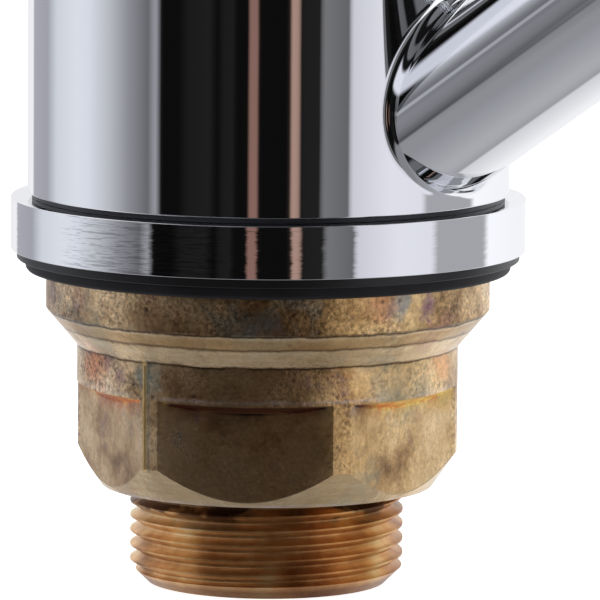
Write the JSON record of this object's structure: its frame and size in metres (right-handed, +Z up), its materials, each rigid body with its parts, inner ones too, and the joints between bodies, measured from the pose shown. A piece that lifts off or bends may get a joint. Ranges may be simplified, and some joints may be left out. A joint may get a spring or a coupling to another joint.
{
  "type": "kitchen mixer tap",
  "caption": "Single-lever kitchen mixer tap: chromed swivelling body with a low rising spout, ceramic cartridge under a domed lever, threaded shank and flanged fixing nut.",
  "frame": {"origin": "on the tap's vertical axis, in the worktop plane that the base gasket rests on", "axes": "+Z up along the tap's axis, +X along the spout at rest, so the lever also points along +X"},
  "size_m": [0.2552, 0.0532, 0.1709],
  "materials": {
    "chromed_zinc": "polished chrome over cast zinc",
    "chromed_brass": "polished chrome over cast brass",
    "cast_brass": "tarnished sand-cast brass with machined bands",
    "machined_brass": "machined brass",
    "black_rubber": "matt black rubber",
    "grey_rubber": "dark grey rubber",
    "acetal": "dark grey acetal",
    "cartridge_plastic": "white glass-filled nylon",
    "ceramic": "lapped alumina ceramic",
    "pin_steel": "stainless steel",
    "indicator_plastic": "red and blue plastic"
  },
  "bodies": {
    "base": {"core_casting": "cast_brass", "base_ring": "chromed_brass", "base_gasket": "black_rubber", "lower_slip_ring": "acetal", "upper_slip_ring": "acetal", "lower_spout_seal": "black_rubber", "upper_spout_seal": "black_rubber", "cartridge_base": "cartridge_plastic", "cartridge_base_seals": "black_rubber", "fixed_ceramic_disc": "ceramic", "cartridge_housing": "cartridge_plastic", "retaining_nut": "machined_brass", "dome_cap": "chromed_brass"},
    "spout": {"swivel_body": "chromed_brass", "aerator_housing": "chromed_brass", "aerator_insert": "cartridge_plastic", "aerator_washer": "black_rubber"},
    "turret": {"cartridge_turret": "cartridge_plastic", "stem_pin": "pin_steel"},
    "lever": {"cartridge_stem": "machined_brass", "lever_handle": "chromed_zinc", "lever_set_screw": "pin_steel", "indicator_plug": "indicator_plastic"},
    "disc": {"moving_ceramic_disc": "ceramic", "disc_carrier": "cartridge_plastic"},
    "washer": {"clamp_washer": "grey_rubber"},
    "nut": {"fixing_nut": "cast_brass"}
  },
  "joints": [
    {"name": "spout_swivel", "type": "hinge", "parent": "base", "child": "spout", "pos_m": [0, 0, 0.05], "axis": [0, 0, 1], "continuous": true},
    {"name": "lever_turn", "type": "hinge", "parent": "base", "child": "turret", "pos_m": [0, 0, 0.097], "axis": [0, 0, 1], "range_deg": [-50, 50]},
    {"name": "lever_lift", "type": "hinge", "parent": "turret", "child": "lever", "pos_m": [0, 0, 0.097], "axis": [0, -1, 0], "range_deg": [0, 25]},
    {"name": "disc_slide", "type": "slide", "parent": "turret", "child": "disc", "axis": [1, 0, 0], "range_m": [0, 0.0044]},
    {"name": "nut_travel", "type": "slide", "parent": "base", "child": "washer", "axis": [0, 0, 1], "range_m": [-0.015, 0]},
    {"name": "nut_turn", "type": "hinge", "parent": "washer", "child": "nut", "pos_m": [0, 0, -0.012], "axis": [0, 0, 1], "range_deg": [-3600, 0]}
  ],
  "couplings": [
    {"joint": "disc_slide", "follows": "lever_lift", "m_per_rad": 0.0099209},
    {"joint": "nut_travel", "follows": "nut_turn", "m_per_rad": 0.00023873}
  ]
}
